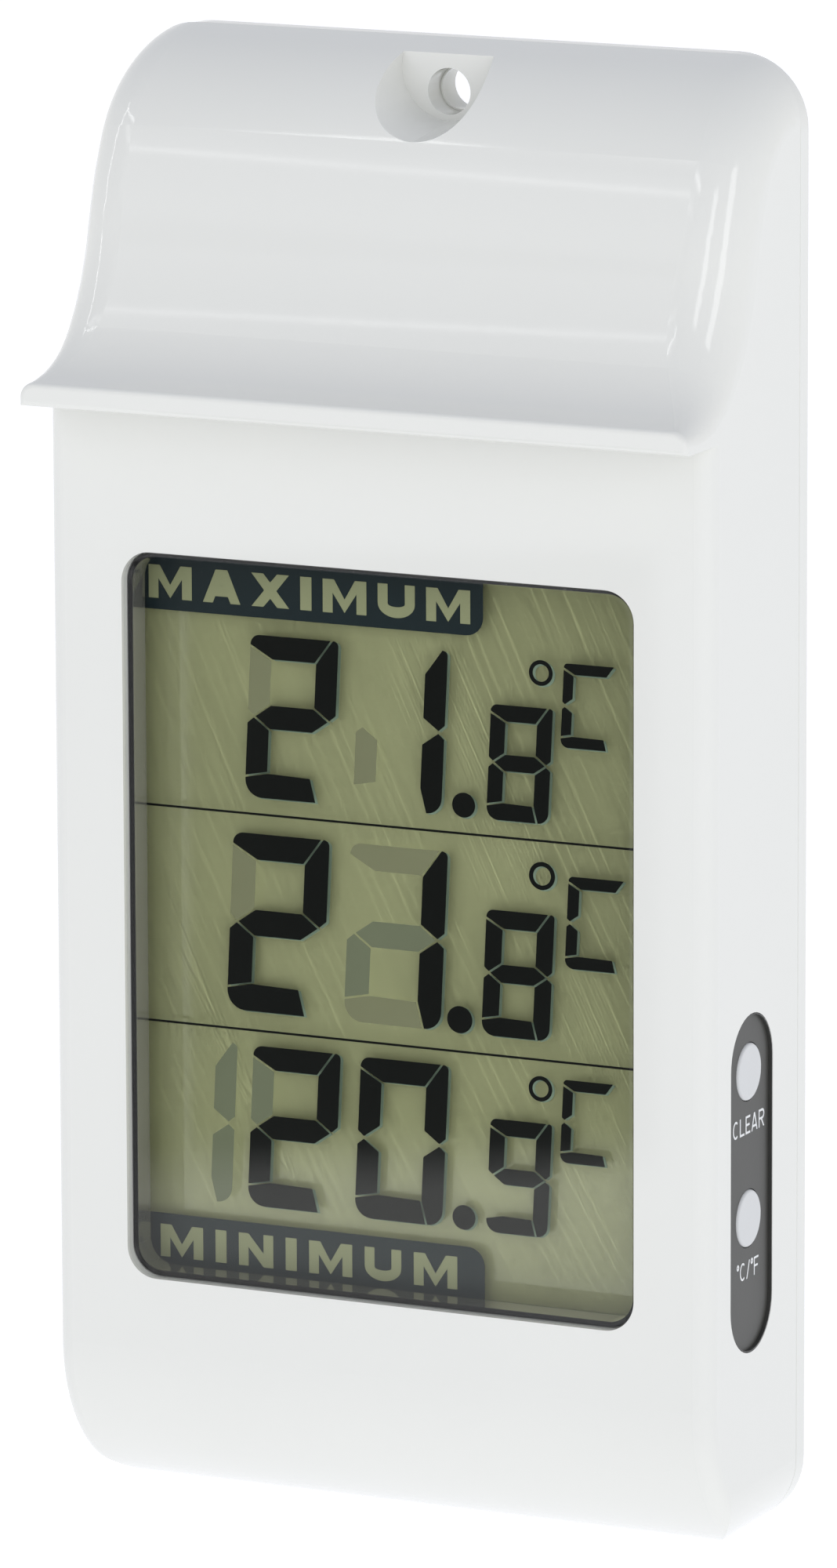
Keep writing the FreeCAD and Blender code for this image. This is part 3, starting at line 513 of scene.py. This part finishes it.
def on_block(u, v, depth):
    """A point just in front of the dark blocks."""
    return (u * MM, CRYSTAL_PLANE + (depth - LETTER_LIFT) * MM, v * MM)


CAP_HEIGHT = 3.4
BLOCK_WIDTHS = {"M": 4.85, "A": 4.2, "X": 4.2, "I": 1.25, "U": 4.1, "N": 3.9}
block_letters = {character: (width, CAP_HEIGHT, 0) for character, width in BLOCK_WIDTHS.items()}
draw_word("word_maximum", "MAXIMUM", -27.8, -51.3, block_letters, 1.25, 1.1, on_block, display_ground,
          "display_glass")
draw_word("word_minimum", "MINIMUM", -27.1, -119.55, block_letters, 1.4, 1.1, on_block, display_ground,
          "display_glass")


# ---------------------------------------------------------------- lettering of the push buttons

label_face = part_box("label_panel")[1].x
clear_low, clear_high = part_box("clear_button")
unit_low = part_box("unit_button")[0]
button_y = (clear_low.y + clear_high.y) / 2 / MM
label_white = solid_material("label_white", (0.78, 0.79, 0.79), 0.5, mottle=0.05, mottle_size=1.0)


def on_label(u, v, depth):
    """A point on the face of the label panel, u mm behind the buttons' middle and v mm above the origin."""
    return (label_face + (LETTER_LIFT - depth) * MM, (button_y + u) * MM, v * MM)


LABEL_CAP = 1.85
label_letters = {character: (width, LABEL_CAP, 0) for character, width in
                 {"C": 1.4, "L": 1.15, "E": 1.15, "A": 1.5, "R": 1.4, "F": 1.15, "/": 0.9}.items()}
label_letters["o"] = (0.6, 0.65, 1.25)  # the degree ring
CLEAR_DROP = 2.5  # from a button's lower edge to the base line of its word
UNIT_DROP = 2.35
draw_word("label_clear", "CLEAR", -3.8, clear_low.z / MM - CLEAR_DROP, label_letters, 0.28, 0.24, on_label,
          label_white, "grey_label")
draw_word("label_unit", "oC/oF", -2.8, unit_low.z / MM - UNIT_DROP, label_letters, 0.18, 0.22, on_label,
          label_white, "grey_label")


# ---------------------------------------------------------------- edges of the label, its recess wall in painted shade, and of the hanging hole

# The near-black lining of the label's recess is painted shade: it darkens the recess wall where that wall lies
# in shadow.
rim_painted_shade = solid_material("rim_painted_shade", (0.045, 0.045, 0.041), 0.35, mottle=0.2, mottle_size=2)


def stadium(centre, radius, reach, steps=16):
    """The outline of an upright stadium: a half disc at each end, reach above and below its centre."""
    top = arc((centre[0], centre[1] + reach), (radius, radius), 0, 180, steps)
    bottom = arc((centre[0], centre[1] - reach), (radius, radius), 180, 360, steps)
    return top + bottom


def tube(outside, inside, place, length):
    """A wall between two outlines with equally many points, running back from place's depth 0."""
    count = len(outside)
    vertices = [place(u, v, depth) for depth in (0.0, length) for outline in (outside, inside)
                for u, v in outline]
    faces = []
    for i in range(count):
        n = (i + 1) % count
        front_out, front_in, back_out, back_in = i, count + i, 2 * count + i, 3 * count + i
        next_out, next_in, next_back_out, next_back_in = n, count + n, 2 * count + n, 3 * count + n
        faces += [(front_out, next_out, next_in, front_in),
                  (back_out, back_in, next_back_in, next_back_out),
                  (front_out, back_out, next_back_out, next_out),
                  (front_in, next_in, next_back_in, back_in)]
    return vertices, faces


RIM_GAP = 0.03  # between the rim and the case's side, and between the rim and the label's edge
RIM_FOOT = 0.01  # between the rim and the label's face
RIM_THICK = 0.1


def in_recess(u, v, depth):
    """A point in the label's recess, u mm behind its middle, v mm above the origin and depth mm in."""
    return (case_side - (RIM_GAP + depth) * MM, (button_y + u) * MM, v * MM)


label_low, label_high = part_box("label_panel")
case_side = cad_box[1][0]
label_middle = (label_low.z + label_high.z) / 2 / MM
label_radius = (label_high.y - label_low.y) / 2 / MM + RIM_GAP
label_reach = (label_high.z - label_low.z) / 2 / MM + RIM_GAP - label_radius
rim_outer = stadium((0, label_middle), label_radius, label_reach)
rim_inner = stadium((0, label_middle), label_radius - RIM_THICK, label_reach)
rim_depth = (case_side - label_high.x) / MM - RIM_GAP - RIM_FOOT
# Painted shade: a thin near-black wall lining the label's recess.
add_mesh("label_rim", *tube(rim_outer, rim_inner, in_recess, rim_depth), rim_painted_shade, "grey_label")


HOLE_R = 2.33  # just inside the bore's wall
STEP_R = 2.14
STEP_FRONT = 3.5  # in front of the wall
STEP_LENGTH = 0.9


def in_hole(u, v, depth):
    """A point in the hanging hole, depth mm behind the front of its moulded step."""
    return (u * MM, (depth - STEP_FRONT) * MM, v * MM)


add_mesh("hole_step", *tube(disc((0, 0), HOLE_R), disc((0, 0), STEP_R), in_hole, STEP_LENGTH),
         slot_materials["case_plastic"], "case_plastic")


# ---------------------------------------------------------------- camera, floor and lights


def aim(thing, place, back, roll=0.0):
    """Put a camera or lamp at a place, looking against the direction back, turned by roll about it."""
    turn = Vector(back).to_track_quat("Z", "Y").to_matrix().to_4x4()
    thing.matrix_world = Matrix.Translation(place) @ turn @ Matrix.Rotation(roll, 4, "Z")


CAMERA_AZIMUTH = math.radians(25.576)
CAMERA_ELEVATION = math.radians(11.583)
CAMERA_ROLL = math.radians(-0.22)
CAMERA_TARGET = Vector((-0.0010, -0.0120, -0.0695))
CAMERA_DISTANCE = 1.0728
back = Vector((math.sin(CAMERA_AZIMUTH) * math.cos(CAMERA_ELEVATION),
               -math.cos(CAMERA_AZIMUTH) * math.cos(CAMERA_ELEVATION),
               math.sin(CAMERA_ELEVATION)))
camera_data = bpy.data.cameras.new("camera")
camera_data.lens = 245.0
camera_data.sensor_width = 36.0
camera_data.clip_start = 0.05
camera = bpy.data.objects.new("camera", camera_data)
bpy.context.scene.collection.objects.link(camera)
aim(camera, CAMERA_TARGET + back * CAMERA_DISTANCE, back, CAMERA_ROLL)
bpy.context.scene.camera = camera
bpy.context.scene.view_settings.view_transform = "Standard"


FLOOR_HALF = 3.0  # half the floor's width, in metres
FLOOR_DROP = 65  # under the hanging object, so that its battery door has room to slide down
FLOOR_GLOW = 0.47


def add_floor():
    """A plain pale floor."""
    half = FLOOR_HALF
    height = cad_box[0][2] - FLOOR_DROP * MM
    mesh = bpy.data.meshes.new("floor")
    mesh.from_pydata([(-half, -half, height), (half, -half, height), (half, half, height),
                      (-half, half, height)], [], [(0, 1, 2, 3)])
    material = solid_material("floor_paper", (0.86, 0.86, 0.86), 0.7, mottle=0.01, mottle_size=200)
    shader = next(n for n in material.node_tree.nodes if n.type == "BSDF_PRINCIPLED")
    shader.inputs["Emission Color"].default_value = (1, 1, 1, 1)
    shader.inputs["Emission Strength"].default_value = FLOOR_GLOW
    mesh.materials.append(material)
    floor = bpy.data.objects.new("floor", mesh)
    bpy.context.scene.collection.objects.link(floor)


LAMP_DISTANCE = 1.6  # metres from the middle of the object


def add_softbox(name, azimuth, elevation, size, power):
    """A soft rectangular lamp, its size in metres and its power in watts, that points at the object from a
    direction in degrees, azimuth 0 in front."""
    a, e = math.radians(azimuth), math.radians(elevation)
    direction = Vector((math.sin(a) * math.cos(e), -math.cos(a) * math.cos(e), math.sin(e)))
    data = bpy.data.lights.new(name, "AREA")
    data.shape = "RECTANGLE"
    data.size, data.size_y = size
    data.energy = power
    lamp = bpy.data.objects.new(name, data)
    bpy.context.scene.collection.objects.link(lamp)
    aim(lamp, CAMERA_TARGET + direction * LAMP_DISTANCE, direction)


def add_world():
    """Soft light from all round, white at the horizon and darker overhead."""
    world = bpy.data.worlds.new("studio")
    world.use_nodes = True
    tree = world.node_tree
    ground = tree.nodes["Background"]
    place = tree.nodes.new("ShaderNodeTexCoord")
    split = tree.nodes.new("ShaderNodeSeparateXYZ")
    ramp = tree.nodes.new("ShaderNodeValToRGB")
    tree.links.new(place.outputs["Generated"], split.inputs["Vector"])
    tree.links.new(split.outputs["Z"], ramp.inputs["Fac"])
    tree.links.new(ramp.outputs["Color"], ground.inputs["Color"])
    ramp.color_ramp.elements[0].color = (1.0, 1.0, 1.0, 1)
    ramp.color_ramp.elements[1].color = (0.545, 0.57, 0.65, 1)
    ramp.color_ramp.elements[1].position = 0.8
    ground.inputs["Strength"].default_value = 0.965
    bpy.context.scene.world = world


FACE_PLANE = -24.0  # y of the case's face
CARD_DISTANCE = 95
CARD_ENDS = (-26.5, 30.0)
CARD_HEIGHT = 84
CARD_FADE = (13.0, 18.0)  # heights on the card between which it turns from white to dark


def add_dark_card():
    """A dark card in front of the display, white at its foot and seen only in mirror images, that keeps the
    upper part of the window clear."""
    towards = Vector((-math.sin(CAMERA_AZIMUTH), -math.cos(CAMERA_AZIMUTH), 0))
    across = Vector((math.cos(CAMERA_AZIMUTH), -math.sin(CAMERA_AZIMUTH), 0))
    middle = Vector((0, FACE_PLANE * MM, 0)) + towards * CARD_DISTANCE * MM
    foot = cad_box[0][2]
    top = foot + CARD_HEIGHT * MM
    left, right = (middle + across * end * MM for end in CARD_ENDS)
    mesh = bpy.data.meshes.new("dark_card")
    mesh.from_pydata([(left.x, left.y, foot), (right.x, right.y, foot), (right.x, right.y, top),
                      (left.x, left.y, top)], [], [(0, 1, 2, 3)])
    material, tree, output = new_material("card")
    glow = tree.nodes.new("ShaderNodeEmission")
    place = tree.nodes.new("ShaderNodeTexCoord")
    split = tree.nodes.new("ShaderNodeSeparateXYZ")
    ramp = tree.nodes.new("ShaderNodeValToRGB")
    tree.links.new(place.outputs["Generated"], split.inputs["Vector"])
    tree.links.new(split.outputs["Z"], ramp.inputs["Fac"])
    tree.links.new(ramp.outputs["Color"], glow.inputs["Color"])
    tree.links.new(glow.outputs["Emission"], output.inputs["Surface"])
    for element, height, tone in zip(ramp.color_ramp.elements, CARD_FADE, (1.0, 0.03)):
        element.position = height / CARD_HEIGHT
        element.color = (tone, tone, tone, 1)
    mesh.materials.append(material)
    card = bpy.data.objects.new("dark_card", mesh)
    bpy.context.scene.collection.objects.link(card)
    card.visible_camera = False
    card.visible_diffuse = False
    card.visible_shadow = False


add_floor()
add_world()
add_dark_card()
add_softbox("left_softbox", -30, 33, (0.7, 0.42), 0.35)
add_softbox("left_strip_high", -40, 44, (1.5, 0.03), 0.85)
add_softbox("left_strip_low", -40, 37.5, (1.5, 0.02), 0.27)
add_softbox("left_upright", -74, 28, (0.03, 0.9), 0.6)
add_softbox("right_window_near", 33, 20, (0.2, 0.9), 1.55)
add_softbox("right_window_far", 66, 18, (0.28, 0.9), 2.1)
